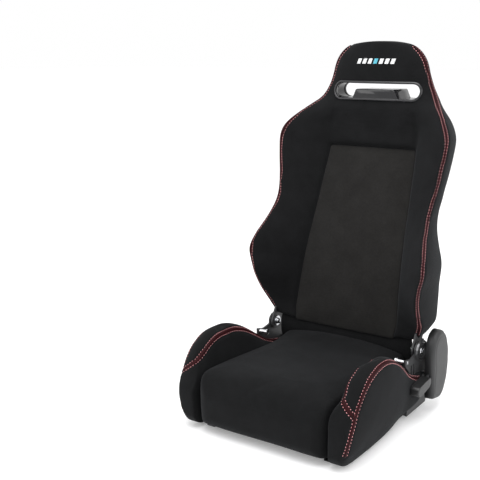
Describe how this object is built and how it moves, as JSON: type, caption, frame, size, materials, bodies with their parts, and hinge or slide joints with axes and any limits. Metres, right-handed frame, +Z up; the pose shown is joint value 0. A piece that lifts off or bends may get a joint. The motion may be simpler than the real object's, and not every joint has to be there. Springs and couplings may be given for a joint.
{
  "type": "reclining racing seat",
  "caption": "Reclining bucket racing seat: padded cloth back and cushion with side wings, belt slot in the headrest, steel frames, lever recliner and flat base rails.",
  "frame": {"origin": "underside of the centre brace, midway between the base rails, on the surface the seat stands on", "axes": "+Z up, the seat faces -Y, +X to the occupant's left, the lever side"},
  "size_m": [0.535, 0.647, 0.93],
  "materials": {
    "cloth_black": "knitted suede-like cloth",
    "cloth_insert": "smooth knitted cloth of the centre panel",
    "cloth_rear": "cloth over the rear shell",
    "steel_black": "black powder coat",
    "steel_zinc": "bright zinc and chrome",
    "spring_steel": "oiled spring steel",
    "gloss_black": "gloss black",
    "plastic_dark": "textured dark plastic"
  },
  "bodies": {
    "base": {"centre_brace": "steel_black", "cover_screw_1": "steel_zinc", "cover_screw_2": "steel_zinc", "cushion_pad": "cloth_black", "cushion_wing_left": "cloth_black", "cushion_wing_right": "cloth_black", "front_cross_tube": "steel_black", "hinge_cross_tube": "steel_zinc", "lower_plate_left": "steel_black", "lower_plate_right": "steel_black", "pawl_pin": "steel_zinc", "pivot_bolt_left": "steel_zinc", "pivot_bolt_right": "steel_zinc", "pivot_bush_left": "steel_zinc", "pivot_bush_right": "steel_zinc", "rail_bolt_1_left": "steel_zinc", "rail_bolt_1_right": "steel_zinc", "rail_bolt_2_left": "steel_zinc", "rail_bolt_2_right": "steel_zinc", "rear_cross_tube": "steel_black", "recline_spring": "spring_steel", "recliner_cover": "plastic_dark", "seat_spring_1": "spring_steel", "seat_spring_2": "spring_steel", "seat_spring_3": "spring_steel", "seat_spring_4": "spring_steel", "side_rail_left": "steel_black", "side_rail_right": "steel_black", "stay_bolt_left": "steel_zinc", "stay_bolt_right": "steel_zinc", "wing_tail_left": "cloth_black", "wing_tail_right": "cloth_black"},
    "backrest": {"arm_bolt_1_left": "steel_zinc", "arm_bolt_1_right": "steel_zinc", "arm_bolt_2_left": "steel_zinc", "arm_bolt_2_right": "steel_zinc", "back_bolster_left": "cloth_black", "back_bolster_right": "cloth_black", "back_centre_pad": "cloth_insert", "back_cross_tube": "steel_black", "back_frame_tube": "steel_black", "back_shell": "cloth_rear", "head_shell": "cloth_rear", "headrest_pad": "cloth_black", "headrest_wire": "steel_black", "lumbar_wire_1": "spring_steel", "lumbar_wire_2": "spring_steel", "lumbar_wire_3": "spring_steel", "shoulder_pad": "cloth_black", "slot_bezel_front": "gloss_black", "slot_bezel_rear": "gloss_black", "slot_liner": "gloss_black", "upper_arm_left": "steel_black", "upper_arm_right": "steel_black"},
    "lever": {"grip_screw": "steel_zinc", "lever_arm": "steel_black", "lever_grip": "plastic_dark", "lever_shaft": "steel_zinc"},
    "pawl": {"lock_pawl": "spring_steel"}
  },
  "joints": [
    {"name": "recline", "type": "hinge", "parent": "base", "child": "backrest", "pos_m": [0, 0.168, 0.167], "axis": [-1, 0, 0], "range_deg": [-45, 55]},
    {"name": "lever_lift", "type": "hinge", "parent": "base", "child": "lever", "pos_m": [0.25, 0.195, 0.1], "axis": [-1, 0, 0], "range_deg": [0, 25], "stiffness_Nm_per_rad": 1.2, "springref_deg": -17.19},
    {"name": "pawl_swing", "type": "hinge", "parent": "base", "child": "pawl", "pos_m": [0.218, 0.23, 0.121], "axis": [1, 0, 0], "range_deg": [0, 15]}
  ],
  "couplings": [
    {"joint": "pawl_swing", "follows": "lever_lift", "ratio": 0.5}
  ]
}
